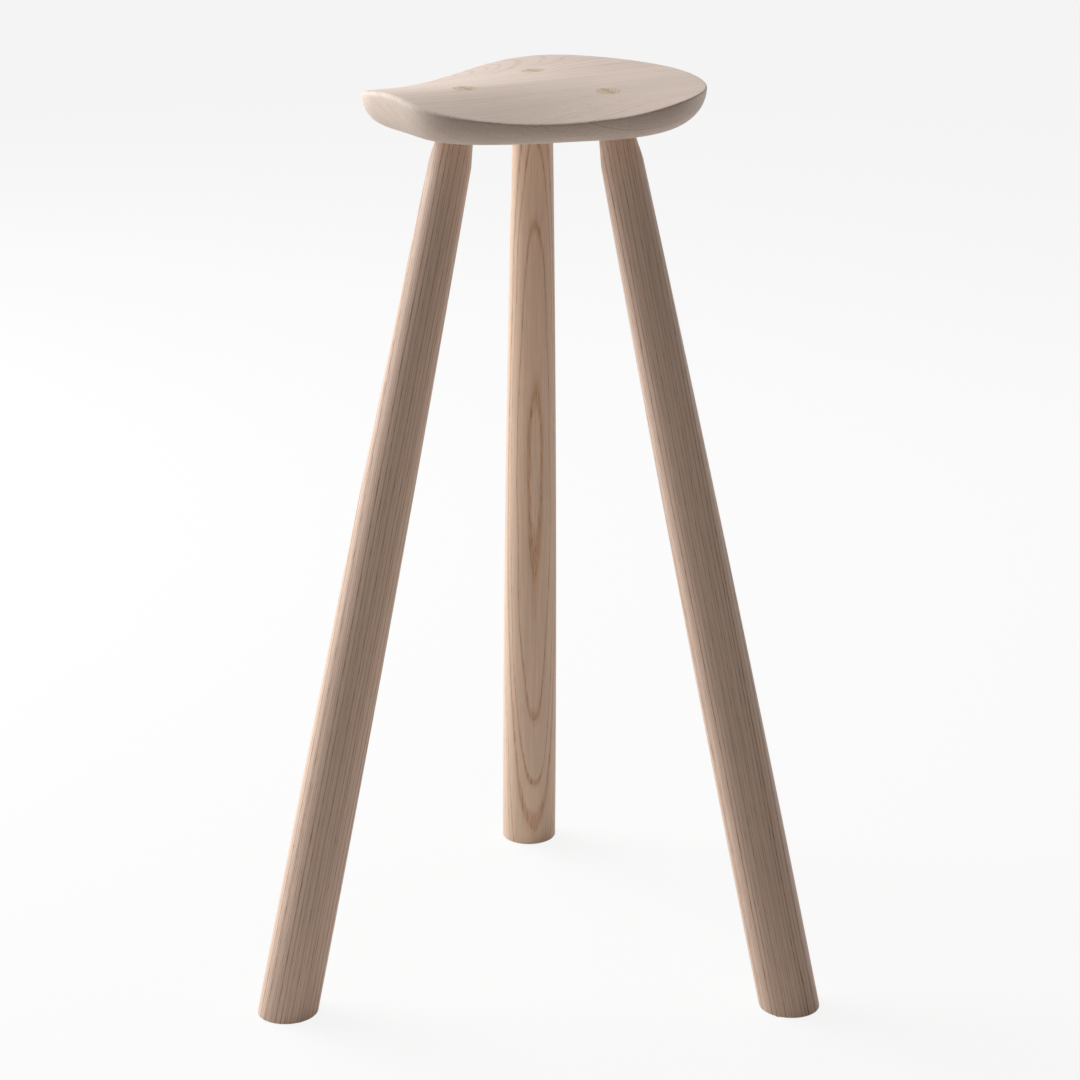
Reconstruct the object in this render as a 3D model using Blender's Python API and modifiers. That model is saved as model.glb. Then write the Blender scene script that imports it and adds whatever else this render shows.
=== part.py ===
"""Bar stool in solid ash: a saddle seat on three splayed legs.

Each leg ends in a long cone that passes right through the seat. Its end is trimmed
flush with the dished top and spread by a hardwood wedge. Metres, +Z up. The origin
is on the floor, at the middle of the stool's footprint. The seat's raised lip
points to +Y, and the plane X = 0 is the plane of symmetry.
"""

import math

import bmesh
import bpy
from mathutils import Matrix, Vector

# Overall sizes.
STOOL_HEIGHT = 0.750  # floor to the crest of the lip
SEAT_LENGTH = 0.264  # front edge to lip
SEAT_WIDTH = 0.244  # across the middle
SEAT_DEPTH = 0.033  # crest of the lip to the flat underside
FOOT_CIRCLE_RADIUS = 0.2393  # circle of the leg axes on the floor
SEAT_CIRCLE_RADIUS = 0.0715  # the same circle at the seat's underside

# Plan of the seat: round at the front, narrowing to a broad, nearly straight lip.
FRONT_FULLNESS = 1.8  # superellipse power of the front half
REAR_FULLNESS = 4.4
PLAN_TAPER = 0.37  # how much narrower the lip is than the middle, as a share

# Top of the seat: level at the front, rising to the lip, falling at the sides.
LIP_RISE = 0.0025
LIP_POWER = 2.6
SIDE_DROP = 0.0142  # fall of the surface at SIDE_REACH from the middle line
SIDE_REACH = 0.100
SIDE_POWER = 1.3
SADDLE_START = -0.098  # place along the seat where the sides begin to fall
SADDLE_FULL = 0.084  # and where they have fallen all the way
RIM_ROUND = 0.0012  # small round along the top edge
FRONT_INSET = 0.033  # how far the side curves in before it meets the underside
LIP_INSET = 0.022  # the same below the lip, which is fuller

# Legs.
LEG_AZIMUTHS = {"rear": 90, "left": 210, "right": 330}  # degrees from +X
FOOT_RADIUS = 0.0245
SHOULDER_RADIUS = 0.0168  # where the leg turns into its cone
LEG_SWELL = 1.85  # power of the taper: the leg keeps its girth low down
NECK_DROP = 0.026  # height of the shoulder below the seat's underside
TENON_TAPER = math.radians(7.25)  # half angle of the cone

# Wedges, each in a sawn kerf of the same shape.
WEDGE_LENGTH = 0.022  # from the seat's top down along the leg's axis
WEDGE_HEAD = 0.0036  # thickness at the seat's top
WEDGE_TIP = 0.0010

CLEARANCE = 0.0003  # gap between pieces that fit together
OVERCUT = 0.012  # how far a cutter or an untrimmed end runs past the surface it meets

LEG_STEPS = 48
LEG_RINGS = 10
SEAT_STEPS = 88
TOP_RINGS = 12
ROUND_RINGS = 3
SIDE_RINGS = 8
FLOOR_RINGS = 3
TRIM_CELLS = 40

# Colours are linear; both woods are finished with soap and stay pale and dull.
SEAT_COLOUR = (0.68, 0.60, 0.52, 1.0)
LEG_COLOUR = (0.64, 0.53, 0.43, 1.0)
WEDGE_COLOUR = (0.50, 0.37, 0.24, 1.0)
SEAT_ROUGHNESS = 0.62
LEG_ROUGHNESS = 0.58
WEDGE_ROUGHNESS = 0.70

UNDERSIDE_HEIGHT = STOOL_HEIGHT - SEAT_DEPTH
SPLAY = math.atan2(FOOT_CIRCLE_RADIUS - SEAT_CIRCLE_RADIUS, UNDERSIDE_HEIGHT)


def clear_scene():
    """Remove every object, so that the stool is alone in the file."""
    for found in list(bpy.data.objects):
        bpy.data.objects.remove(found, do_unlink=True)


def new_collection(name):
    """Return a new collection linked to the scene."""
    made = bpy.data.collections.new(name)
    bpy.context.scene.collection.children.link(made)
    return made


def new_material(name, colour, roughness):
    """Return a Principled material for bare wood."""
    made = bpy.data.materials.new(name)
    made.use_nodes = True
    shader = made.node_tree.nodes["Principled BSDF"]
    shader.inputs["Base Color"].default_value = colour
    shader.inputs["Roughness"].default_value = roughness
    shader.inputs["Metallic"].default_value = 0.0
    return made


def new_object(name, shape, collection, parent=None):
    """Make an object from a bmesh, and free the bmesh."""
    mesh = bpy.data.meshes.new(name)
    shape.to_mesh(mesh)
    shape.free()
    made = bpy.data.objects.new(name, mesh)
    collection.objects.link(made)
    made.parent = parent
    return made


def new_cutter(name, shape, collection, parent=None):
    """Make a helper object that only cuts others."""
    made = new_object(name, shape, collection, parent)
    made.hide_render = True
    made.display_type = "WIRE"
    return made


def add_boolean(target, cutter, operation):
    """Cut a piece with a cutter, or keep only what lies inside it."""
    modifier = target.modifiers.new(cutter.name, "BOOLEAN")
    modifier.operation = operation
    modifier.solver = "EXACT"
    modifier.object = cutter


def shade_round(made):
    """Shade the faces smooth and keep the real edges sharp."""
    made.data.shade_smooth()
    made.data.set_sharp_from_angle(angle=math.radians(35))


# The footprint is symmetric about X = 0, so only its middle along Y is worked out.
def footprint_middle():
    """Return how far the middle of the stool's outline lies behind the legs' centre."""
    long_half = FOOT_RADIUS / math.cos(SPLAY)  # the foot is an ellipse on the floor
    highest = max(foot_reach(azimuth, long_half, 1) for azimuth in LEG_AZIMUTHS.values())
    lowest = min(foot_reach(azimuth, long_half, -1) for azimuth in LEG_AZIMUTHS.values())
    return (max(highest, SEAT_LENGTH / 2) + min(lowest, -SEAT_LENGTH / 2)) / 2


def foot_reach(azimuth, long_half, side):
    """Return the Y of a foot's edge, on its +Y side or its -Y side."""
    turn = math.radians(azimuth)
    half = math.hypot(long_half * math.sin(turn), FOOT_RADIUS * math.cos(turn))
    return FOOT_CIRCLE_RADIUS * math.sin(turn) + side * half


def smooth_step(value):
    """Ease from 0 to 1 with level ends."""
    value = min(max(value, 0.0), 1.0)
    return value * value * (3.0 - 2.0 * value)


def rim_point(turn):
    """Return the seat's outline at this turn about the legs' centre."""
    fullness = REAR_FULLNESS if math.sin(turn) > 0 else FRONT_FULLNESS
    across = math.copysign(abs(math.cos(turn)) ** (2 / fullness), math.cos(turn))
    along = math.copysign(abs(math.sin(turn)) ** (2 / fullness), math.sin(turn))
    narrowing = 1 - PLAN_TAPER * along
    return Vector((SEAT_WIDTH / 2 * across * narrowing, SEAT_LENGTH / 2 * along))


def saddle_share(y):
    """Return 0 at the seat's level front, easing to 1 where the sides have fallen fully."""
    return smooth_step((y - SADDLE_START) / (SADDLE_FULL - SADDLE_START))


def top_height(x, y):
    """Return the height of the seat's dished top, measured from the legs' centre."""
    share = (y + SEAT_LENGTH / 2) / SEAT_LENGTH
    lip = LIP_RISE * (1 - min(max(share, 0.0), 1.0) ** LIP_POWER)
    fall = SIDE_DROP * (abs(x) / SIDE_REACH) ** SIDE_POWER * saddle_share(y)
    return STOOL_HEIGHT - lip - fall


def seat_point(ring, turn):
    """Return one point of the seat's skin; rings run from the top's middle to the floor's."""
    rim = rim_point(turn)
    reach = rim.length
    rim_height = top_height(rim.x, rim.y) - RIM_ROUND
    inset = FRONT_INSET + (LIP_INSET - FRONT_INSET) * saddle_share(rim.y)
    if ring <= TOP_RINGS:
        flat = rim * (ring / TOP_RINGS) * (1 - RIM_ROUND / reach)
        return Vector((flat.x, flat.y, top_height(flat.x, flat.y)))
    ring -= TOP_RINGS
    if ring <= ROUND_RINGS:
        bend = math.pi / 2 * ring / ROUND_RINGS
        flat = rim * (1 - RIM_ROUND * (1 - math.sin(bend)) / reach)
        return Vector((flat.x, flat.y, rim_height + RIM_ROUND * math.cos(bend)))
    ring -= ROUND_RINGS
    if ring <= SIDE_RINGS:
        bend = math.pi / 2 * ring / SIDE_RINGS
        flat = rim * (1 - inset * (1 - math.cos(bend)) / reach)
        drop = (rim_height - UNDERSIDE_HEIGHT) * math.sin(bend)
        return Vector((flat.x, flat.y, rim_height - drop))
    ring -= SIDE_RINGS
    flat = rim * (1 - inset / reach) * (1 - ring / FLOOR_RINGS)
    return Vector((flat.x, flat.y, UNDERSIDE_HEIGHT))


def make_seat(collection, parent):
    """Shape a ball into the seat, ring by ring."""
    rings = TOP_RINGS + ROUND_RINGS + SIDE_RINGS + FLOOR_RINGS
    shape = bmesh.new()
    bmesh.ops.create_uvsphere(shape, u_segments=SEAT_STEPS, v_segments=rings, radius=1.0)
    for vert in shape.verts:
        ring = round(math.acos(max(-1.0, min(1.0, vert.co.z))) / math.pi * rings)
        vert.co = seat_point(ring, math.atan2(vert.co.y, vert.co.x))
    made = new_object("seat", shape, collection, parent)
    shade_round(made)
    return made


def make_top_trimmer(collection, parent):
    """Make the block of air above the seat, whose underside is the dished top."""
    shape = bmesh.new()
    bmesh.ops.create_grid(
        shape, x_segments=TRIM_CELLS, y_segments=TRIM_CELLS, size=max(SEAT_LENGTH, SEAT_WIDTH) / 2
    )
    sheet = list(shape.faces)
    raised = bmesh.ops.extrude_face_region(shape, geom=sheet)["geom"]
    upper = {item for item in raised if isinstance(item, bmesh.types.BMVert)}
    for vert in shape.verts:
        height = top_height(vert.co.x, vert.co.y)
        vert.co.z = STOOL_HEIGHT + 2 * OVERCUT if vert in upper else height
    bmesh.ops.recalc_face_normals(shape, faces=shape.faces)
    return new_cutter("top_trimmer", shape, collection, parent)


def make_floor_trimmer(collection, parent):
    """Make the block below the floor that cuts the feet level."""
    shape = bmesh.new()
    bmesh.ops.create_cube(shape, size=1.0)
    side = 2 * (FOOT_CIRCLE_RADIUS + 4 * FOOT_RADIUS)
    bmesh.ops.scale(shape, vec=(side, side, 4 * OVERCUT), verts=shape.verts)
    bmesh.ops.translate(shape, vec=(0, 0, -2 * OVERCUT), verts=shape.verts)
    return new_cutter("floor_trimmer", shape, collection, parent)


def leg_frame(azimuth):
    """Return the frame of a leg: Z up its axis from the floor, X across the stool."""
    turn = math.radians(azimuth)
    outward = Vector((math.cos(turn), math.sin(turn), 0))
    up = Vector((0, 0, math.cos(SPLAY))) - outward * math.sin(SPLAY)
    across = (Vector((1, 0, 0)) - up * up.x).normalized()
    side = up.cross(across)
    frame = Matrix((across, side, up)).transposed().to_4x4()
    frame.translation = outward * FOOT_CIRCLE_RADIUS
    return frame


def axis_length(height):
    """Return how far along a leg's axis a height above the floor lies."""
    return height / math.cos(SPLAY)


def exit_length(frame):
    """Return how far along its axis a leg comes out of the seat's top."""
    length = axis_length(STOOL_HEIGHT)
    for _ in range(8):
        point = frame @ Vector((0, 0, length))
        length += axis_length(top_height(point.x, point.y) - point.z)
    return length


def cone_radius(length):
    """Return the radius of the leg's cone at this place on its axis."""
    shoulder = axis_length(UNDERSIDE_HEIGHT - NECK_DROP)
    return SHOULDER_RADIUS - (length - shoulder) * math.tan(TENON_TAPER)


def leg_radius(share):
    """Return the leg's radius between the floor, at 0, and the shoulder, at 1."""
    return FOOT_RADIUS - (FOOT_RADIUS - SHOULDER_RADIUS) * share**LEG_SWELL


def make_leg(name, collection, parent):
    """Turn a leg from its profile, with both ends left long for trimming."""
    shoulder = axis_length(UNDERSIDE_HEIGHT - NECK_DROP)
    head = axis_length(STOOL_HEIGHT) + OVERCUT
    foot = -OVERCUT
    profile = [(0.0, head), (cone_radius(head), head)]
    for step in range(LEG_RINGS + 1):
        share = 1 - step / LEG_RINGS
        profile.append((leg_radius(share), shoulder * share))
    profile += [(FOOT_RADIUS, foot), (0.0, foot)]
    shape = bmesh.new()
    verts = [shape.verts.new((radius, 0, length)) for radius, length in profile]
    for upper, lower in zip(verts, verts[1:]):
        shape.edges.new((upper, lower))
    made = new_object(name, shape, collection, parent)
    turning = made.modifiers.new("turning", "SCREW")
    turning.axis = "Z"
    turning.steps = LEG_STEPS
    turning.render_steps = LEG_STEPS
    turning.use_merge_vertices = True
    turning.merge_threshold = 0.00001
    turning.use_smooth_shade = True
    return made


def make_cone(name, growth, collection, parent):
    """Make the cone of a leg's upper end, enlarged all round by growth."""
    low = axis_length(UNDERSIDE_HEIGHT - NECK_DROP)
    high = axis_length(STOOL_HEIGHT) + 2 * OVERCUT
    wider = growth / math.cos(TENON_TAPER)
    shape = bmesh.new()
    bmesh.ops.create_cone(
        shape,
        cap_ends=True,
        segments=LEG_STEPS,
        radius1=cone_radius(low) + wider,
        radius2=cone_radius(high) + wider,
        depth=high - low,
        matrix=Matrix.Translation((0, 0, (low + high) / 2)),
    )
    return new_cutter(name, shape, collection, parent)


def wedge_shape(exit_at, growth):
    """Return a tapered blade, its length across the tenon and its thin edge down."""
    low = exit_at - WEDGE_LENGTH - growth
    high = exit_at + OVERCUT
    slope = (WEDGE_HEAD - WEDGE_TIP) / WEDGE_LENGTH
    shape = bmesh.new()
    bmesh.ops.create_cube(shape, size=1.0)
    for vert in shape.verts:
        length = high if vert.co.z > 0 else low
        thickness = WEDGE_HEAD + (length - exit_at) * slope + 2 * growth
        vert.co.x = math.copysign(2 * SHOULDER_RADIUS, vert.co.x)
        vert.co.y = math.copysign(thickness / 2, vert.co.y)
        vert.co.z = length
    return shape


def build():
    """Build the whole stool."""
    clear_scene()
    pieces = new_collection("bar_stool")
    cutters = new_collection("cutters")
    seat_wood = new_material("ash_seat", SEAT_COLOUR, SEAT_ROUGHNESS)
    leg_wood = new_material("ash_leg", LEG_COLOUR, LEG_ROUGHNESS)
    wedge_wood = new_material("wedge_wood", WEDGE_COLOUR, WEDGE_ROUGHNESS)

    root = bpy.data.objects.new("bar_stool", None)
    pieces.objects.link(root)
    root.location = (0, -footprint_middle(), 0)

    seat = make_seat(pieces, root)
    seat.data.materials.append(seat_wood)
    top_trimmer = make_top_trimmer(cutters, root)
    floor_trimmer = make_floor_trimmer(cutters, root)

    for side, azimuth in LEG_AZIMUTHS.items():
        frame = leg_frame(azimuth)
        axis = bpy.data.objects.new(f"axis_{side}", None)
        pieces.objects.link(axis)
        axis.parent = root
        axis.matrix_local = frame
        exit_at = exit_length(frame)

        leg = make_leg(f"leg_{side}", pieces, axis)
        leg.data.materials.append(leg_wood)
        kerf = new_cutter(f"kerf_{side}", wedge_shape(exit_at, CLEARANCE), cutters, axis)
        add_boolean(leg, floor_trimmer, "DIFFERENCE")
        add_boolean(leg, top_trimmer, "DIFFERENCE")
        add_boolean(leg, kerf, "DIFFERENCE")

        wedge = new_object(f"wedge_{side}", wedge_shape(exit_at, 0.0), pieces, axis)
        wedge.data.materials.append(wedge_wood)
        add_boolean(wedge, make_cone(f"tenon_{side}", 0.0, cutters, axis), "INTERSECT")
        add_boolean(wedge, top_trimmer, "DIFFERENCE")

        mortise = make_cone(f"mortise_{side}", CLEARANCE, cutters, axis)
        add_boolean(seat, mortise, "DIFFERENCE")


build()
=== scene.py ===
"""Looks of a bar stool in soap-finished ash: saddle seat, three turned legs, three wedges.

The seat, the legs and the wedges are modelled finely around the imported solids, which
stay as the frame. Sizes are in metres. +Z is up and the seat's lip points to +Y.
"""

import logging
import math
from dataclasses import dataclass, field, replace
from enum import Enum
from typing import Any, Callable

import bmesh
import bpy
from mathutils import Matrix, Vector


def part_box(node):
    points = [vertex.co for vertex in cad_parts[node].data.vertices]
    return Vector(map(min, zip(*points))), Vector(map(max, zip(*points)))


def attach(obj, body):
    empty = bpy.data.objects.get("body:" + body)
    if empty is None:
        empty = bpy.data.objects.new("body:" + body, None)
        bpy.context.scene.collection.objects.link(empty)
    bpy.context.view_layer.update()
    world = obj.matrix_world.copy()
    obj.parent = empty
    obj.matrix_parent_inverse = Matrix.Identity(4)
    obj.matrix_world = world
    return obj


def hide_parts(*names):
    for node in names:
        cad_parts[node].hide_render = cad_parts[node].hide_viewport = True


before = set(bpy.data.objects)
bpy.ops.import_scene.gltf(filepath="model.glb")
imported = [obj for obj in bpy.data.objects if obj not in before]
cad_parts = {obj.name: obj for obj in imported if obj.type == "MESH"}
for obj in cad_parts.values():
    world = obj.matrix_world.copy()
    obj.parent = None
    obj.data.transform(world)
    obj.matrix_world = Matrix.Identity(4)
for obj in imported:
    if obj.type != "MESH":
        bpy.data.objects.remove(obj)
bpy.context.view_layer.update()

LOG = logging.getLogger("bar_stool")

Colour = tuple[float, float, float]
Socket = bpy.types.NodeSocket

CRISP_EDGE = 32.0  # degrees; sharper turns than this stay edges on the seat and legs
CRISP_WEDGE = 20.0
UP_FACING = 0.8  # a leg's faces that look up this much are its tenon's end
DOWN_FACING = -0.99  # and those that look down this much are its sole
ON_FLOOR = 1e-6


class Side(Enum):
    """The three legs, by where they stand; the value is the azimuth in degrees from +X."""

    REAR = 90.0
    LEFT = 210.0
    RIGHT = 330.0

    @property
    def word(self) -> str:
        """Return the leg's name as its CAD nodes spell it."""
        return self.name.lower()


class Cut(Enum):
    """What a Boolean keeps of a piece."""

    AWAY = "DIFFERENCE"
    INSIDE = "INTERSECT"


# ---------------------------------------------------------------- shop helpers


def put_down_everything() -> None:
    """Deselect all objects, so that the next operator works on one piece only."""
    if bpy.context.mode != "OBJECT":
        bpy.ops.object.mode_set(mode="OBJECT")
    bpy.ops.object.select_all(action="DESELECT")


def pick_up(piece: bpy.types.Object) -> None:
    """Select one piece alone and make it active.

    Args:
        piece: The object to work on.
    """
    put_down_everything()
    piece.select_set(True)
    bpy.context.view_layer.objects.active = piece


def carve(piece: bpy.types.Object, tool: bpy.types.Object, cut: Cut) -> None:
    """Apply a Boolean to a piece.

    Args:
        piece: The object that is cut.
        tool: The closed mesh that cuts it.
        cut: Whether the part inside the tool goes or stays.
    """
    modifier = piece.modifiers.new("carve", "BOOLEAN")
    modifier.operation = cut.value
    modifier.solver = "EXACT"
    modifier.object = tool
    pick_up(piece)
    bpy.ops.object.modifier_apply(modifier=modifier.name)


def put_away(*tools: bpy.types.Object) -> None:
    """Remove cutters once their work is done."""
    for tool in tools:
        bpy.data.objects.remove(tool, do_unlink=True)


def smooth(piece: bpy.types.Object, degrees: float) -> None:
    """Shade a piece smooth and keep its edges above an angle crisp.

    Args:
        piece: The finished mesh object.
        degrees: The smallest angle that still reads as an edge.
    """
    pick_up(piece)
    bpy.ops.object.shade_smooth_by_angle(angle=math.radians(degrees))


def select_edges(piece: bpy.types.Object, wanted: Callable[[Vector, Vector], bool]) -> None:
    """In edit mode, select only the edges whose two ends pass a test.

    Args:
        piece: The object in edit mode.
        wanted: Takes the two ends of an edge and says whether it is selected.
    """
    bpy.ops.mesh.select_all(action="DESELECT")
    bpy.ops.mesh.select_mode(type="EDGE")
    shape = bmesh.from_edit_mesh(piece.data)
    for edge in shape.edges:
        edge.select_set(wanted(edge.verts[0].co, edge.verts[1].co))
    bmesh.update_edit_mesh(piece.data)


def ease(value: float) -> float:
    """Ease from 0 to 1 with level ends.

    Args:
        value: Any number; below 0 gives 0 and above 1 gives 1.

    Returns:
        The eased share.
    """
    value = min(max(value, 0.0), 1.0)
    return value * value * (3.0 - 2.0 * value)


# ---------------------------------------------------------------- wood finishes


class Graph:
    """A short way to write a material's node tree."""

    def __init__(self, name: str) -> None:
        """Start a material with only its Principled shader and output.

        Args:
            name: The material's name.
        """
        self.material = bpy.data.materials.new(name)
        self.material.use_nodes = True
        self.nodes = self.material.node_tree.nodes
        self.links = self.material.node_tree.links
        self.shader = self.nodes["Principled BSDF"]

    def feed(self, socket: Socket, value: Any) -> None:
        """Link a socket, or set its value where the value is a plain one.

        Args:
            socket: The input to fill.
            value: A socket, a number or a colour.
        """
        if isinstance(value, bpy.types.NodeSocket):
            self.links.new(value, socket)
        else:
            socket.default_value = value

    def math(self, operation: str, *values: Any, clamp: bool = False) -> Socket:
        """Add a Math node.

        Args:
            operation: Blender's name for the operation.
            values: Numbers or sockets, in the node's order.
            clamp: Whether the result is kept from 0 to 1.

        Returns:
            The result's socket.
        """
        node = self.nodes.new("ShaderNodeMath")
        node.operation = operation
        node.use_clamp = clamp
        for socket, value in zip(node.inputs, values):
            self.feed(socket, value)
        return node.outputs[0]

    def vector_math(self, operation: str, *values: Any) -> bpy.types.Node:
        """Add a Vector Math node.

        Args:
            operation: Blender's name for the operation.
            values: Vectors or sockets, in the node's order.

        Returns:
            The node.
        """
        node = self.nodes.new("ShaderNodeVectorMath")
        node.operation = operation
        for socket, value in zip(node.inputs, values):
            self.feed(socket, value)
        return node

    def span(self, value: Any, low: float, high: float, start: float, end: float) -> Socket:
        """Add a smooth Map Range.

        Args:
            value: The number or socket to map.
            low: Where the input range starts.
            high: Where it ends.
            start: What low gives.
            end: What high gives.

        Returns:
            The result's socket.
        """
        node = self.nodes.new("ShaderNodeMapRange")
        node.interpolation_type = "SMOOTHSTEP"
        for socket, number in zip(node.inputs, (value, low, high, start, end)):
            self.feed(socket, number)
        return node.outputs["Result"]

    def noise(self, place: Socket, stretch: float, scale: float, detail: float) -> bpy.types.Node:
        """Add a noise drawn out along the grain.

        Args:
            place: The socket with the point in the piece's own directions.
            stretch: Factor along the grain; a small one draws the noise out.
            scale: Features per metre across the grain.
            detail: Octaves of detail.

        Returns:
            The noise node.
        """
        drawn = self.vector_math("MULTIPLY", place, (1.0, 1.0, stretch))
        node = self.nodes.new("ShaderNodeTexNoise")
        node.inputs["Scale"].default_value = scale
        node.inputs["Detail"].default_value = detail
        node.inputs["Roughness"].default_value = 0.55
        self.links.new(drawn.outputs[0], node.inputs["Vector"])
        return node

    def blend(self, share: Any, first: Any, second: Any, mode: str = "MIX") -> Socket:
        """Add a colour Mix node.

        Args:
            share: How much of the second colour is taken.
            first: A colour or socket.
            second: A colour or socket.
            mode: Blender's blend mode.

        Returns:
            The mixed colour's socket.
        """
        node = self.nodes.new("ShaderNodeMix")
        node.data_type = "RGBA"
        node.blend_type = mode
        self.feed(node.inputs[0], share)
        self.feed(node.inputs[6], first)
        self.feed(node.inputs[7], second)
        return node.outputs[2]

    def ramp(self, share: Socket, stops: list[tuple[float, Colour]]) -> Socket:
        """Add a colour ramp.

        Args:
            share: The socket that drives it.
            stops: Places and colours, in order.

        Returns:
            The colour's socket.
        """
        node = self.nodes.new("ShaderNodeValToRGB")
        elements = node.color_ramp.elements
        while len(elements) < len(stops):
            elements.new(1.0)
        for element, (place, colour) in zip(elements, stops):
            element.position = place
            element.color = (*colour, 1.0)
        self.feed(node.inputs[0], share)
        return node.outputs[0]

    def grey(self, value: Any) -> Socket:
        """Turn a number into a grey colour.

        Args:
            value: The number's socket.

        Returns:
            The colour's socket.
        """
        node = self.nodes.new("ShaderNodeCombineColor")
        for socket in node.inputs:
            self.feed(socket, value)
        return node.outputs[0]


@dataclass(frozen=True)
class Grain:
    """How a piece was sawn from the tree, in its own directions; Z runs along the grain."""

    heart: tuple[float, float]  # where the tree's heart lies, across the grain
    ring_width: float = 0.0023
    bow: float = 0.0  # how fast the rings leave the piece, per metre squared
    bow_middle: float = 0.0  # place along the grain where they run level
    wander: float = 0.0022  # how far the rings stray
    wander_scale: float = 26.0
    wander_stretch: float = 0.12
    uneven_years: float = 2.2  # how much wide and narrow years differ
    uneven_scale: float = 0.45


@dataclass(frozen=True)
class AshFinish:
    """Ash with a soap finish: a pale ground, porous early wood, fine dark pores."""

    name: str
    slot: str
    ground: Colour
    early: Colour
    late: Colour
    pore: Colour
    pore_share: float = 0.85  # how dark the pores read
    pore_scale: float = 1500.0  # per metre across the grain
    pore_stretch: float = 0.045
    fibre_scale: float = 850.0
    fibre_stretch: float = 0.014
    fibre_swing: float = 0.09
    tone_scale: float = 21.0
    tone_stretch: float = 0.10
    tone_swing: float = 0.10
    roughness: float = 0.60
    rough_swing: float = 0.06
    bump: float = 0.35
    pore_depth: float = 0.00018
    fibre_relief: float = 0.35
    sheen: float = 0.10
    sheen_roughness: float = 0.45
    gloss: float = 0.35

    def material(self, grain: Grain, place: Matrix) -> bpy.types.Material:
        """Build the material for one piece.

        Args:
            grain: How the piece was sawn.
            place: The piece's own frame, with Z along the grain.

        Returns:
            The finished material.
        """
        graph = Graph(self.name)
        point = self._own_directions(graph, place)
        rings = self._rings(graph, grain, point)
        early = graph.math(
            "MULTIPLY",
            graph.span(rings, 0.0, 0.05, 0.10, 1.0),
            graph.span(rings, 0.16, 0.30, 1.0, 0.12),
        )
        pores = graph.noise(point, self.pore_stretch, self.pore_scale, 2.0).outputs["Fac"]
        open_pores = graph.math("MULTIPLY", graph.span(pores, 0.50, 0.62, 0.0, 1.0), early)
        fibres = graph.noise(point, self.fibre_stretch, self.fibre_scale, 3.0).outputs["Fac"]
        tone = graph.noise(point, self.tone_stretch, self.tone_scale, 2.0).outputs["Fac"]

        year = [
            (0.0, self.late),
            (0.04, self.early),
            (0.13, self.early),
            (0.27, self.ground),
            (0.86, self.ground),
            (1.0, self.late),
        ]
        ground = graph.ramp(rings, year)
        shade = graph.math("MULTIPLY", open_pores, self.pore_share)
        colour = graph.blend(shade, ground, (*self.pore, 1.0))
        swing = graph.math(
            "MULTIPLY",
            graph.span(fibres, 0.3, 0.7, 1.0 - self.fibre_swing, 1.0 + self.fibre_swing),
            graph.span(tone, 0.3, 0.7, 1.0 - self.tone_swing, 1.0 + self.tone_swing),
        )
        colour = graph.blend(1.0, colour, graph.grey(swing), "MULTIPLY")
        graph.links.new(colour, graph.shader.inputs["Base Color"])

        smoothest, roughest = self.roughness - self.rough_swing, self.roughness + self.rough_swing
        rough = graph.span(fibres, 0.3, 0.7, smoothest, roughest)
        graph.links.new(rough, graph.shader.inputs["Roughness"])
        graph.shader.inputs["Sheen Weight"].default_value = self.sheen
        graph.shader.inputs["Sheen Roughness"].default_value = self.sheen_roughness
        graph.shader.inputs["Specular IOR Level"].default_value = self.gloss
        relief = graph.math("SUBTRACT", graph.math("MULTIPLY", fibres, self.fibre_relief), open_pores)
        bump = graph.nodes.new("ShaderNodeBump")
        bump.inputs["Strength"].default_value = self.bump
        bump.inputs["Distance"].default_value = self.pore_depth
        graph.links.new(relief, bump.inputs["Height"])
        graph.links.new(bump.outputs[0], graph.shader.inputs["Normal"])
        return graph.material

    def _own_directions(self, graph: Graph, place: Matrix) -> Socket:
        """Turn the shaded point into the piece's own directions.

        Args:
            graph: The material's graph.
            place: The piece's own frame.

        Returns:
            The turned point's socket.
        """
        coordinates = graph.nodes.new("ShaderNodeTexCoord")
        mapping = graph.nodes.new("ShaderNodeMapping")
        mapping.vector_type = "TEXTURE"
        mapping.inputs["Location"].default_value = place.translation
        mapping.inputs["Rotation"].default_value = place.to_euler("XYZ")
        graph.links.new(coordinates.outputs["Object"], mapping.inputs["Vector"])
        return mapping.outputs[0]

    def _rings(self, graph: Graph, grain: Grain, point: Any) -> Socket:
        """Lay the year rings around the tree's heart.

        Args:
            graph: The material's graph.
            grain: How the piece was sawn.
            point: The point in the piece's own directions.

        Returns:
            The socket that runs from 0 to 1 through each year's ring.
        """
        stray = graph.noise(point, grain.wander_stretch, grain.wander_scale, 2.0).outputs["Color"]
        stray = graph.vector_math("SUBTRACT", stray, (0.5, 0.5, 0.5)).outputs[0]
        stray = graph.vector_math("MULTIPLY", stray, (2 * grain.wander, 2 * grain.wander, 0.0)).outputs[0]
        moved = graph.vector_math("ADD", point, stray).outputs[0]
        along = graph.nodes.new("ShaderNodeSeparateXYZ")
        graph.links.new(moved, along.inputs[0])
        x = graph.math("SUBTRACT", along.outputs[0], grain.heart[0])
        y = graph.math("SUBTRACT", along.outputs[1], grain.heart[1])
        squares = graph.math("ADD", graph.math("MULTIPLY", x, x), graph.math("MULTIPLY", y, y))
        reach = graph.math("SQRT", squares)
        off = graph.math("SUBTRACT", along.outputs[2], grain.bow_middle)
        bowed = graph.math("MULTIPLY", graph.math("MULTIPLY", off, off), grain.bow)
        reach = graph.math("ADD", reach, bowed)
        years = graph.math("DIVIDE", reach, grain.ring_width)
        uneven = graph.nodes.new("ShaderNodeTexNoise")
        uneven.noise_dimensions = "1D"
        uneven.inputs["Scale"].default_value = grain.uneven_scale
        graph.links.new(years, uneven.inputs["W"])
        years = graph.math("ADD", years, graph.math("MULTIPLY", uneven.outputs["Fac"], grain.uneven_years))
        return graph.math("FRACT", years)


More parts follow.
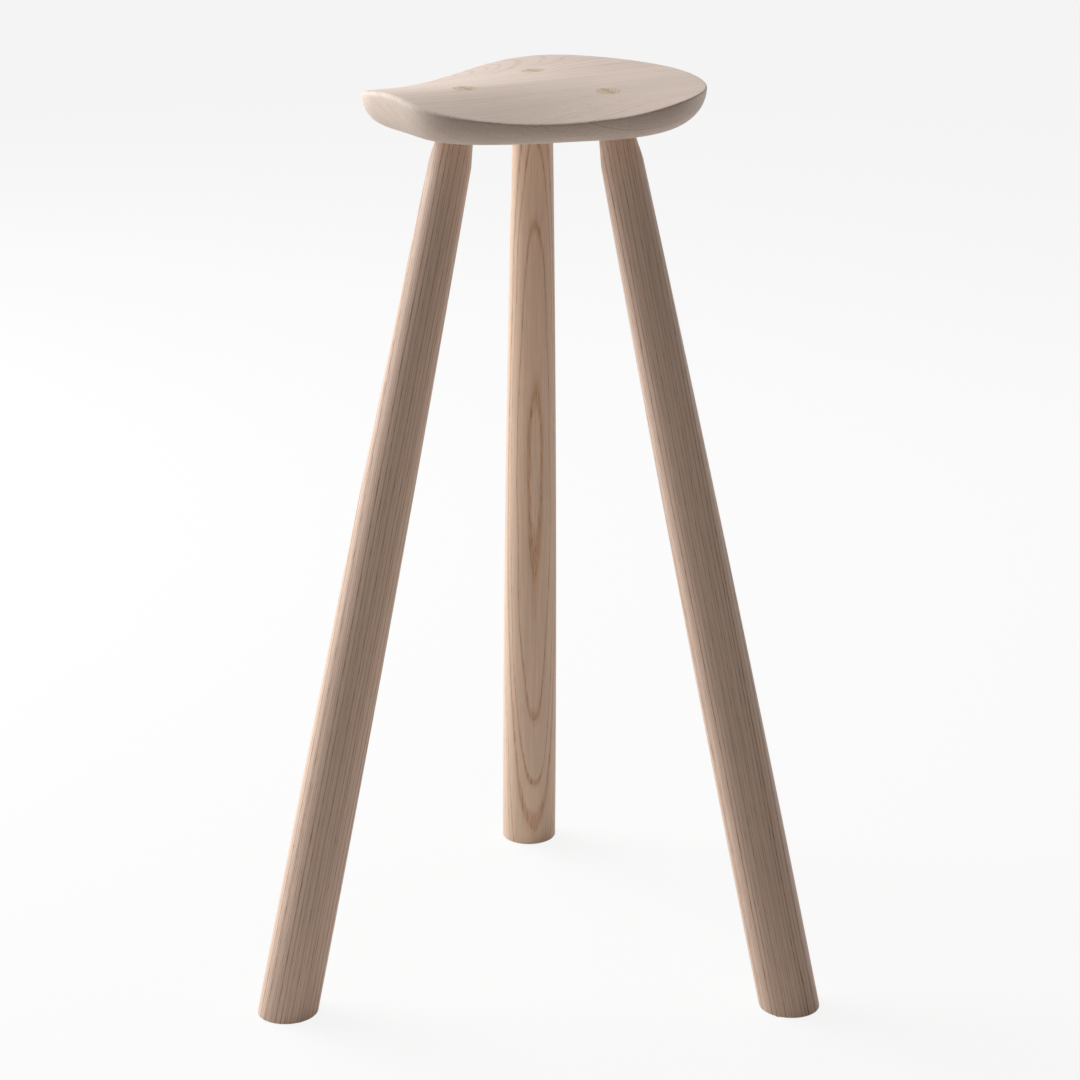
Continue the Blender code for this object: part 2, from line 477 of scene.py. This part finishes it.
SEAT_ASH = AshFinish(
    name="seat_ash",
    slot="seat_wood",
    ground=(0.72, 0.575, 0.485),
    early=(0.66, 0.51, 0.42),
    late=(0.69, 0.55, 0.46),
    pore=(0.44, 0.31, 0.23),
    pore_share=0.55,
    fibre_swing=0.05,
    tone_swing=0.05,
    roughness=0.58,
    bump=0.22,
)
LEG_ASH = AshFinish(
    name="leg_ash",
    slot="leg_wood",
    ground=(0.79, 0.58, 0.46),
    early=(0.58, 0.375, 0.265),
    late=(0.69, 0.485, 0.365),
    pore=(0.30, 0.17, 0.11),
    pore_share=0.75,
    fibre_swing=0.07,
    tone_swing=0.06,
)
WARM_LEG_ASH = replace(
    LEG_ASH,
    name="leg_ash_warm",
    ground=(0.80, 0.585, 0.44),
    early=(0.68, 0.43, 0.28),
    late=(0.75, 0.515, 0.365),
    pore_share=0.55,
)
LEG_END = replace(
    LEG_ASH,
    name="leg_ash_end",
    ground=(0.66, 0.51, 0.35),
    early=(0.57, 0.41, 0.27),
    late=(0.60, 0.45, 0.30),
    pore=(0.38, 0.25, 0.15),
    roughness=0.72,
)
WEDGE_WOOD = AshFinish(
    name="wedge_wood",
    slot="wedge_wood",
    ground=(0.52, 0.39, 0.25),
    early=(0.45, 0.33, 0.20),
    late=(0.47, 0.35, 0.22),
    pore=(0.30, 0.20, 0.12),
    roughness=0.70,
)


# How each piece was sawn. The rear and left legs show straight lines, and the right one
# bowed rings that end in long pointed arches.
SEAT_GRAIN = Grain(heart=(0.10, 0.20), ring_width=0.0017, wander=0.0020, bow=0.02)
WEDGE_GRAIN = Grain(heart=(0.05, 0.03), ring_width=0.0012, wander=0.0004)
LEG_GRAINS = {
    Side.REAR: Grain(heart=(0.045, 0.085), ring_width=0.0026, bow=0.006, bow_middle=0.30),
    Side.LEFT: Grain(heart=(0.055, 0.080), ring_width=0.0025, bow=0.004, bow_middle=0.40),
    Side.RIGHT: Grain(heart=(0.050, -0.022), ring_width=0.0036, bow=-0.060, bow_middle=0.50, wander=0.0030),
}
LEG_FINISHES = {Side.REAR: LEG_ASH, Side.LEFT: LEG_ASH, Side.RIGHT: WARM_LEG_ASH}


# ---------------------------------------------------------------- seat


@dataclass
class SeatForm:
    """The dished seat: round at the front, narrowing to a broad raised lip."""

    length: float = 0.264
    width: float = 0.244
    front_fullness: float = 1.8
    rear_fullness: float = 4.4
    plan_taper: float = 0.37
    lip_rise: float = 0.0025
    lip_power: float = 2.6
    side_drop: float = 0.0142
    side_reach: float = 0.100
    side_power: float = 1.3
    crown_soft: float = 0.015  # half width over which the middle is rounded
    saddle_start: float = -0.098
    saddle_full: float = 0.084
    rim_round: float = 0.0012
    lip_round: float = 0.0036  # softer where the lip is held
    lip_round_start: float = 0.092
    lip_round_full: float = 0.129
    front_inset: float = 0.033
    lip_inset: float = 0.022
    steps: int = 256
    top_rings: int = 46
    round_rings: int = 5
    side_rings: int = 22
    floor_rings: int = 7
    centre: Vector = field(default_factory=Vector)
    underside: float = 0.0
    crest: float = 0.0

    def __post_init__(self) -> None:
        """Take the seat's place from its CAD node."""
        low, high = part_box("seat")
        self.centre = Vector((0.0, (low.y + high.y) / 2, 0.0))
        self.underside = low.z
        self.crest = round(high.z, 3)

    def saddle_share(self, y: float) -> float:
        """Return 0 at the level front, easing to 1 where the sides have fallen fully."""
        return ease((y - self.saddle_start) / (self.saddle_full - self.saddle_start))

    def top_height(self, x: float, y: float) -> float:
        """Give the height of the dished top.

        Args:
            x: Place across the seat, from its centre.
            y: Place along it.

        Returns:
            The height above the floor.
        """
        share = min(max((y + self.length / 2) / self.length, 0.0), 1.0)
        lip = self.lip_rise * (1 - share**self.lip_power)
        fall = self.side_drop * self.side_fall(x) / self.side_fall(self.side_reach)
        return self.crest - lip - fall * self.saddle_share(y)

    def side_fall(self, x: float) -> float:
        """Return the unscaled fall of the sides, level along the middle line."""
        soft = self.crown_soft
        return (x * x + soft * soft) ** (self.side_power / 2) - soft**self.side_power

    def rim_point(self, turn: float) -> Vector:
        """Give the plan's outline.

        Args:
            turn: Angle about the centre, in radians.

        Returns:
            The outline's point, from the centre.
        """
        fullness = self.rear_fullness if math.sin(turn) > 0 else self.front_fullness
        across = math.copysign(abs(math.cos(turn)) ** (2 / fullness), math.cos(turn))
        along = math.copysign(abs(math.sin(turn)) ** (2 / fullness), math.sin(turn))
        narrowing = 1 - self.plan_taper * along
        return Vector((self.width / 2 * across * narrowing, self.length / 2 * along))

    def rim_radius(self, y: float) -> float:
        """Return the radius of the top edge at a place along the seat."""
        share = ease((y - self.lip_round_start) / (self.lip_round_full - self.lip_round_start))
        return self.rim_round + (self.lip_round - self.rim_round) * share

    def skin_point(self, ring: int, turn: float) -> Vector:
        """Give one point of the seat's skin.

        Args:
            ring: Ring number, from the top's middle down to the underside's.
            turn: Angle about the centre, in radians.

        Returns:
            The point, with X and Y from the seat's centre.
        """
        rim = self.rim_point(turn)
        reach = rim.length
        soft = self.rim_radius(rim.y)
        edge = self.top_height(rim.x, rim.y) - soft
        inset = self.front_inset + (self.lip_inset - self.front_inset) * self.saddle_share(rim.y)
        if ring <= self.top_rings:
            flat = rim * (ring / self.top_rings) * (1 - soft / reach)
            return Vector((flat.x, flat.y, self.top_height(flat.x, flat.y)))
        ring -= self.top_rings
        if ring <= self.round_rings:
            bend = math.pi / 2 * ring / self.round_rings
            flat = rim * (1 - soft * (1 - math.sin(bend)) / reach)
            return Vector((flat.x, flat.y, edge + soft * math.cos(bend)))
        ring -= self.round_rings
        if ring <= self.side_rings:
            bend = math.pi / 2 * ring / self.side_rings
            flat = rim * (1 - inset * (1 - math.cos(bend)) / reach)
            return Vector((flat.x, flat.y, edge - (edge - self.underside) * math.sin(bend)))
        ring -= self.side_rings
        flat = rim * (1 - inset / reach) * (1 - ring / self.floor_rings)
        return Vector((flat.x, flat.y, self.underside))

    def build(self, legs: list["Leg"]) -> bpy.types.Object:
        """Shape the seat and cut its mortises.

        The skin is placed by formula, because the dish, the crisp edge and the undercut
        side follow the CAD seat. Only the lip's edge and the dish's middle are softer.

        Args:
            legs: The legs whose cones pass through it.

        Returns:
            The seat's object.
        """
        rings = self.top_rings + self.round_rings + self.side_rings + self.floor_rings
        put_down_everything()
        bpy.ops.mesh.primitive_uv_sphere_add(segments=self.steps, ring_count=rings, radius=1.0)
        seat = bpy.context.object
        seat.name = "seat_dished"
        for vert in seat.data.vertices:
            ring = round(math.acos(max(-1.0, min(1.0, vert.co.z))) / math.pi * rings)
            vert.co = self.skin_point(ring, math.atan2(vert.co.y, vert.co.x)) + self.centre
        for leg in legs:
            mortise = leg.cone(leg.joint_line)
            carve(seat, mortise, Cut.AWAY)
            put_away(mortise)
        smooth(seat, CRISP_EDGE)
        return seat

    def dress(self, seat: bpy.types.Object) -> None:
        """Give the seat its wood; the board's grain runs from the front to the lip.

        Args:
            seat: The seat's object.
        """
        board = Matrix(((1.0, 0.0, 0.0), (0.0, 0.0, 1.0), (0.0, -1.0, 0.0))).to_4x4()
        board.translation = self.centre + Vector((0, 0, self.underside))
        seat.data.materials.clear()
        seat.data.materials.append(SEAT_ASH.material(SEAT_GRAIN, board))


# ---------------------------------------------------------------- legs and wedges


@dataclass
class Leg:
    """A turned leg that ends in a long cone, wedged where it leaves the seat's top."""

    side: Side
    seat: SeatForm
    grain: Grain
    finish: AshFinish = LEG_ASH
    foot_circle: float = 0.2393
    seat_circle: float = 0.0715
    foot_radius: float = 0.0245
    shoulder_radius: float = 0.0168
    swell: float = 1.85
    neck_drop: float = 0.026
    tenon_taper: float = math.radians(7.25)
    foot_ease: float = 0.0014
    joint_line: float = 0.00008
    wedge_length: float = 0.022
    wedge_head: float = 0.0036
    wedge_tip: float = 0.0010
    overcut: float = 0.012
    facets: int = 128
    rings: int = 30
    trim_cells: int = 64
    kink: float = 0.0016  # half length of the eased shoulder
    cone_rings: int = 5
    exit_rounds: int = 8

    @property
    def splay(self) -> float:
        """Return the leg's lean from upright, in radians."""
        return math.atan2(self.foot_circle - self.seat_circle, self.seat.underside)

    @property
    def place(self) -> Matrix:
        """Work out the leg's frame: Z up its axis from the floor, X across the stool.

        Returns:
            The frame's matrix.
        """
        turn = math.radians(self.side.value)
        outward = Vector((math.cos(turn), math.sin(turn), 0))
        up = Vector((0, 0, math.cos(self.splay))) - outward * math.sin(self.splay)
        across = (Vector((1, 0, 0)) - up * up.x).normalized()
        axes = Matrix((across, up.cross(across), up)).transposed().to_4x4()
        axes.translation = self.seat.centre + outward * self.foot_circle
        return axes

    @property
    def shoulder(self) -> float:
        """Return how far up the axis the cone begins."""
        return (self.seat.underside - self.neck_drop) / math.cos(self.splay)

    @property
    def head(self) -> float:
        """Return the axis length of a cone left long for trimming."""
        return self.seat.crest / math.cos(self.splay) + self.overcut

    @property
    def exit(self) -> float:
        """Find how far up the axis the leg comes out of the seat's top.

        Returns:
            The length on the axis, from the floor.
        """
        length = self.seat.crest / math.cos(self.splay)
        for _ in range(self.exit_rounds):
            point = self.place @ Vector((0, 0, length)) - self.seat.centre
            length += (self.seat.top_height(point.x, point.y) - point.z) / math.cos(self.splay)
        return length

    def radius_at(self, length: float) -> float:
        """Give the leg's radius.

        Args:
            length: Place on the axis, from the floor.

        Returns:
            The radius there.
        """
        if length > self.shoulder:
            return self.shoulder_radius - (length - self.shoulder) * math.tan(self.tenon_taper)
        share = max(length, 0.0) / self.shoulder
        return self.foot_radius - (self.foot_radius - self.shoulder_radius) * share**self.swell

    def stations(self) -> list[float]:
        """List the places on the axis where the turning has a ring.

        Returns:
            Lengths from the floor, foot first.
        """
        body = [self.shoulder * step / self.rings for step in range(1, self.rings)]
        soft = [self.shoulder - self.kink, self.shoulder, self.shoulder + self.kink]
        rise = (self.head - self.shoulder) / self.cone_rings
        cone = [self.shoulder + rise * step for step in range(1, self.cone_rings + 1)]
        return [-self.overcut, 0.0] + body + soft + cone

    def cone(self, growth: float) -> bpy.types.Object:
        """Make the upper cone as a cutter.

        Args:
            growth: How much wider than the tenon it is, all round.

        Returns:
            The cutter.
        """
        wider = growth / math.cos(self.tenon_taper)
        high = self.head + self.overcut
        put_down_everything()
        bpy.ops.mesh.primitive_cone_add(
            vertices=self.facets,
            radius1=self.radius_at(self.shoulder) + wider,
            radius2=self.radius_at(high) + wider,
            depth=high - self.shoulder,
        )
        cone = bpy.context.object
        centre = Matrix.Translation((0, 0, (high + self.shoulder) / 2))
        cone.data.transform(self.place @ centre)
        return cone

    def trimmer(self) -> bpy.types.Object:
        """Make the block of air above the seat where this leg comes out.

        Returns:
            The cutter, whose underside is the seat's dished top.
        """
        point = self.place @ Vector((0, 0, self.exit))
        put_down_everything()
        bpy.ops.mesh.primitive_grid_add(
            x_subdivisions=self.trim_cells, y_subdivisions=self.trim_cells, size=4 * self.shoulder_radius
        )
        air = bpy.context.object
        for vert in air.data.vertices:
            vert.co.x += point.x
            vert.co.y += point.y
            vert.co.z = self.seat.top_height(vert.co.x, vert.co.y - self.seat.centre.y)
        bpy.ops.object.mode_set(mode="EDIT")
        bpy.ops.mesh.select_all(action="SELECT")
        bpy.ops.mesh.extrude_region_move(TRANSFORM_OT_translate={"value": (0, 0, 4 * self.overcut)})
        bpy.ops.mesh.select_all(action="SELECT")
        bpy.ops.mesh.normals_make_consistent(inside=False)
        bpy.ops.object.mode_set(mode="OBJECT")
        return air

    def blade(self, growth: float) -> bpy.types.Object:
        """Make a tapered blade across the tenon, its thin edge down.

        Args:
            growth: How much thicker than the wedge it is, on each face.

        Returns:
            The blade.
        """
        low = self.exit - self.wedge_length - growth
        high = self.exit + self.overcut
        slope = (self.wedge_head - self.wedge_tip) / self.wedge_length
        tip = self.wedge_tip - growth * slope + 2 * growth
        head = self.wedge_head + self.overcut * slope + 2 * growth
        put_down_everything()
        bpy.ops.mesh.primitive_cube_add(size=1.0)
        blade = bpy.context.object
        bpy.ops.object.mode_set(mode="EDIT")
        bpy.ops.mesh.select_all(action="SELECT")
        size = (4 * self.shoulder_radius, tip, high - low)
        bpy.ops.transform.resize(value=size, center_override=(0, 0, 0))
        bpy.ops.transform.translate(value=(0, 0, (low + high) / 2))
        select_edges(blade, lambda a, b: min(a.z, b.z) > (low + high) / 2)
        bpy.ops.transform.resize(value=(1, head / tip, 1), center_override=(0, 0, high))
        bpy.ops.object.mode_set(mode="OBJECT")
        blade.data.transform(self.place)
        return blade

    def turn(self) -> bpy.types.Object:
        """Turn the leg by extruding a disc up its profile, and saw its foot level.

        Returns:
            The leg, still long at its upper end.
        """
        stations = self.stations()
        put_down_everything()
        bpy.ops.mesh.primitive_circle_add(vertices=self.facets, radius=self.foot_radius, fill_type="NGON")
        leg = bpy.context.object
        leg.name = f"leg_{self.side.word}_turned"
        bpy.ops.object.mode_set(mode="EDIT")
        bpy.ops.mesh.select_all(action="SELECT")
        bpy.ops.transform.translate(value=(0, 0, stations[0]))
        for lower, upper in zip(stations, stations[1:]):
            factor = self.radius_at(upper) / self.radius_at(lower)
            bpy.ops.mesh.extrude_region_move(TRANSFORM_OT_translate={"value": (0, 0, upper - lower)})
            bpy.ops.transform.resize(value=(factor, factor, 1), center_override=(0, 0, upper))
        bpy.ops.mesh.select_all(action="SELECT")
        bpy.ops.mesh.normals_make_consistent(inside=False)
        bpy.ops.object.mode_set(mode="OBJECT")
        leg.data.transform(self.place)
        self._saw_foot(leg)
        return leg

    def _saw_foot(self, leg: bpy.types.Object) -> None:
        """Cut the foot level with the floor and ease its edge.

        Args:
            leg: The leg's object.
        """
        pick_up(leg)
        bpy.ops.object.mode_set(mode="EDIT")
        bpy.ops.mesh.select_all(action="SELECT")
        bpy.ops.mesh.bisect(plane_co=(0, 0, 0), plane_no=(0, 0, 1), use_fill=True, clear_inner=True)
        select_edges(leg, lambda a, b: max(abs(a.z), abs(b.z)) < ON_FLOOR)
        bpy.ops.mesh.bevel(offset=self.foot_ease, offset_type="OFFSET", segments=4, affect="EDGES")
        bpy.ops.object.mode_set(mode="OBJECT")

    def build(self) -> tuple[bpy.types.Object, bpy.types.Object]:
        """Make the leg and its wedge, both sanded flush with the seat.

        Returns:
            The leg and the wedge.
        """
        leg = self.turn()
        air = self.trimmer()
        kerf = self.blade(0.5 * self.joint_line)
        carve(leg, air, Cut.AWAY)
        carve(leg, kerf, Cut.AWAY)
        wedge = self.blade(0.0)
        wedge.name = f"wedge_{self.side.word}_flush"
        cone = self.cone(0.0)
        carve(wedge, cone, Cut.INSIDE)
        carve(wedge, air, Cut.AWAY)
        put_away(air, kerf, cone)
        smooth(leg, CRISP_EDGE)
        smooth(wedge, CRISP_WEDGE)
        return leg, wedge

    def dress(self, leg: bpy.types.Object, wedge: bpy.types.Object) -> None:
        """Give the leg and the wedge their woods, with end grain on the sole and tenon.

        Args:
            leg: The leg's object.
            wedge: The wedge's object.
        """
        leg.data.materials.clear()
        leg.data.materials.append(self.finish.material(self.grain, self.place))
        leg.data.materials.append(LEG_END.material(self.grain, self.place))
        for face in leg.data.polygons:
            flush = face.normal.z > UP_FACING and face.center.z > self.seat.underside
            sole = face.normal.z < DOWN_FACING
            face.material_index = 1 if flush or sole else 0
        wedge.data.materials.clear()
        wedge.data.materials.append(WEDGE_WOOD.material(WEDGE_GRAIN, self.place))


# ---------------------------------------------------------------- studio


@dataclass(frozen=True)
class SoftLamp:
    """A square lamp that faces the stool, placed as the camera sees it."""

    name: str
    right: float  # to the camera's right of the stool
    beyond: float  # behind the stool
    height: float
    side: float
    power: float
    colour: Colour = (1.0, 1.0, 1.0)


LAMPS = (
    SoftLamp("key_left", -2.6, 1.25, 1.70, side=2.3, power=124.0, colour=(0.94, 0.975, 1.0)),
    SoftLamp("rim_right", 1.9, 1.6, 0.35, side=0.8, power=7.0),
    SoftLamp("top_soft", -0.8, 1.4, 2.3, side=1.4, power=20.0),
)


@dataclass
class Studio:
    """A pale floor, three soft lamps and the camera."""

    seat: SeatForm
    distance: float = 2.424
    eye_height: float = 1.1615
    heading: float = -31.53  # degrees from +X
    pitch: float = 18.13  # degrees down
    side_step: float = 0.004
    lens: float = 102.9
    sensor: float = 36.0
    floor_side: float = 60.0
    floor_colour: Colour = (0.80, 0.79, 0.78)
    floor_roughness: float = 0.9
    floor_glow: float = 0.88  # how white the floor looks to the camera
    aim_height: float = 0.45  # what the lamps face
    fill: float = 0.150  # the room's light
    fill_tint: Colour = (1.0, 0.93, 0.86)
    backdrop: float = 0.94

    @property
    def forward(self) -> Vector:
        """Return the level direction in which the camera looks."""
        turn = math.radians(self.heading)
        return Vector((math.cos(turn), math.sin(turn), 0))

    @property
    def rightward(self) -> Vector:
        """Return the level direction to the camera's right."""
        return Vector((self.forward.y, -self.forward.x, 0))

    def floor(self) -> bpy.types.Object:
        """Lay the pale floor: white to the camera, keeping the shadow, clear from below.

        Returns:
            The floor's object.
        """
        put_down_everything()
        bpy.ops.mesh.primitive_plane_add(size=self.floor_side)
        floor = bpy.context.object
        floor.name = "floor"
        graph = Graph("pale_floor")
        graph.shader.inputs["Base Color"].default_value = (*self.floor_colour, 1.0)
        graph.shader.inputs["Roughness"].default_value = self.floor_roughness
        light = graph.nodes.new("ShaderNodeLightPath")
        glow = graph.nodes.new("ShaderNodeEmission")
        glow.inputs["Strength"].default_value = 1.0
        seen = graph.math("MAXIMUM", light.outputs["Is Camera Ray"], light.outputs["Is Glossy Ray"])
        seen = graph.math("MAXIMUM", seen, light.outputs["Is Transmission Ray"])
        mixed = graph.nodes.new("ShaderNodeMixShader")
        graph.feed(mixed.inputs[0], graph.math("MULTIPLY", seen, self.floor_glow))
        graph.links.new(graph.shader.outputs[0], mixed.inputs[1])
        graph.links.new(glow.outputs[0], mixed.inputs[2])
        side = graph.nodes.new("ShaderNodeNewGeometry")
        clear = graph.nodes.new("ShaderNodeBsdfTransparent")
        one_sided = graph.nodes.new("ShaderNodeMixShader")
        graph.links.new(side.outputs["Backfacing"], one_sided.inputs[0])
        graph.links.new(mixed.outputs[0], one_sided.inputs[1])
        graph.links.new(clear.outputs[0], one_sided.inputs[2])
        graph.links.new(one_sided.outputs[0], graph.nodes["Material Output"].inputs["Surface"])
        floor.data.materials.append(graph.material)
        return floor

    def hang(self, lamp: SoftLamp) -> None:
        """Hang a lamp and turn it to the stool.

        Args:
            lamp: The lamp's place, size and power.
        """
        light = bpy.data.lights.new(lamp.name, "AREA")
        light.shape = "SQUARE"
        light.size = lamp.side
        light.energy = lamp.power
        light.color = lamp.colour
        holder = bpy.data.objects.new(lamp.name, light)
        bpy.context.scene.collection.objects.link(holder)
        target = self.seat.centre + Vector((0, 0, self.aim_height))
        level = self.rightward * lamp.right + self.forward * lamp.beyond
        spot = self.seat.centre + level + Vector((0, 0, lamp.height))
        holder.location = spot
        holder.rotation_mode = "QUATERNION"
        holder.rotation_quaternion = (target - spot).to_track_quat("-Z", "Y")

    def world(self) -> None:
        """Fill the room with a dim, slightly warm light that the camera sees as near-white."""
        world = bpy.data.worlds.new("studio")
        bpy.context.scene.world = world
        world.use_nodes = True
        nodes, links = world.node_tree.nodes, world.node_tree.links
        light = nodes.new("ShaderNodeLightPath")
        pick = nodes.new("ShaderNodeMix")
        pick.data_type = "RGBA"
        pick.inputs[6].default_value = tuple(self.fill * part for part in self.fill_tint) + (1.0,)
        pick.inputs[7].default_value = (self.backdrop, self.backdrop, self.backdrop, 1.0)
        seen = nodes.new("ShaderNodeMath")
        seen.operation = "ADD"
        mirrored = nodes.new("ShaderNodeMath")
        mirrored.operation = "MAXIMUM"
        seen.use_clamp = True
        links.new(light.outputs["Is Glossy Ray"], mirrored.inputs[0])
        links.new(light.outputs["Is Transmission Ray"], mirrored.inputs[1])
        links.new(light.outputs["Is Camera Ray"], seen.inputs[0])
        links.new(mirrored.outputs[0], seen.inputs[1])
        links.new(seen.outputs[0], pick.inputs[0])
        links.new(pick.outputs[2], nodes["Background"].inputs["Color"])

    def camera(self) -> None:
        """Stand the camera and point it."""
        data = bpy.data.cameras.new("camera")
        data.lens = self.lens
        data.sensor_width = self.sensor
        camera = bpy.data.objects.new("camera", data)
        bpy.context.scene.collection.objects.link(camera)
        spot = self.seat.centre - self.forward * self.distance + self.rightward * self.side_step
        camera.location = spot + Vector((0, 0, self.eye_height))
        down = math.radians(self.pitch)
        look = self.forward * math.cos(down) - Vector((0, 0, math.sin(down)))
        camera.rotation_mode = "QUATERNION"
        camera.rotation_quaternion = look.to_track_quat("-Z", "Y")
        bpy.context.scene.camera = camera

    def build(self) -> None:
        """Set up the whole studio."""
        self.floor()
        for lamp in LAMPS:
            self.hang(lamp)
        self.world()
        self.camera()
        bpy.context.scene.view_settings.view_transform = "Standard"


def keep(piece: bpy.types.Object, node: str) -> None:
    """Let a piece stand for its CAD node, and report it.

    Args:
        piece: The finished piece.
        node: The CAD node that it replaces.
    """
    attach(piece, "root")
    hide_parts(node)
    LOG.info("%s stands for %s: %d faces", piece.name, node, len(piece.data.polygons))


def main() -> None:
    """Build the stool, then the studio."""
    logging.basicConfig(level=logging.INFO, format="%(name)s: %(message)s")
    LOG.info("frame of %d CAD nodes", len(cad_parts))
    form = SeatForm()
    legs = [Leg(side, form, LEG_GRAINS[side], LEG_FINISHES[side]) for side in Side]
    seat = form.build(legs)
    form.dress(seat)
    keep(seat, "seat")
    for leg in legs:
        turned, wedge = leg.build()
        leg.dress(turned, wedge)
        keep(turned, f"leg_{leg.side.word}")
        keep(wedge, f"wedge_{leg.side.word}")
    Studio(form).build()


if __name__ == "__main__":
    main()
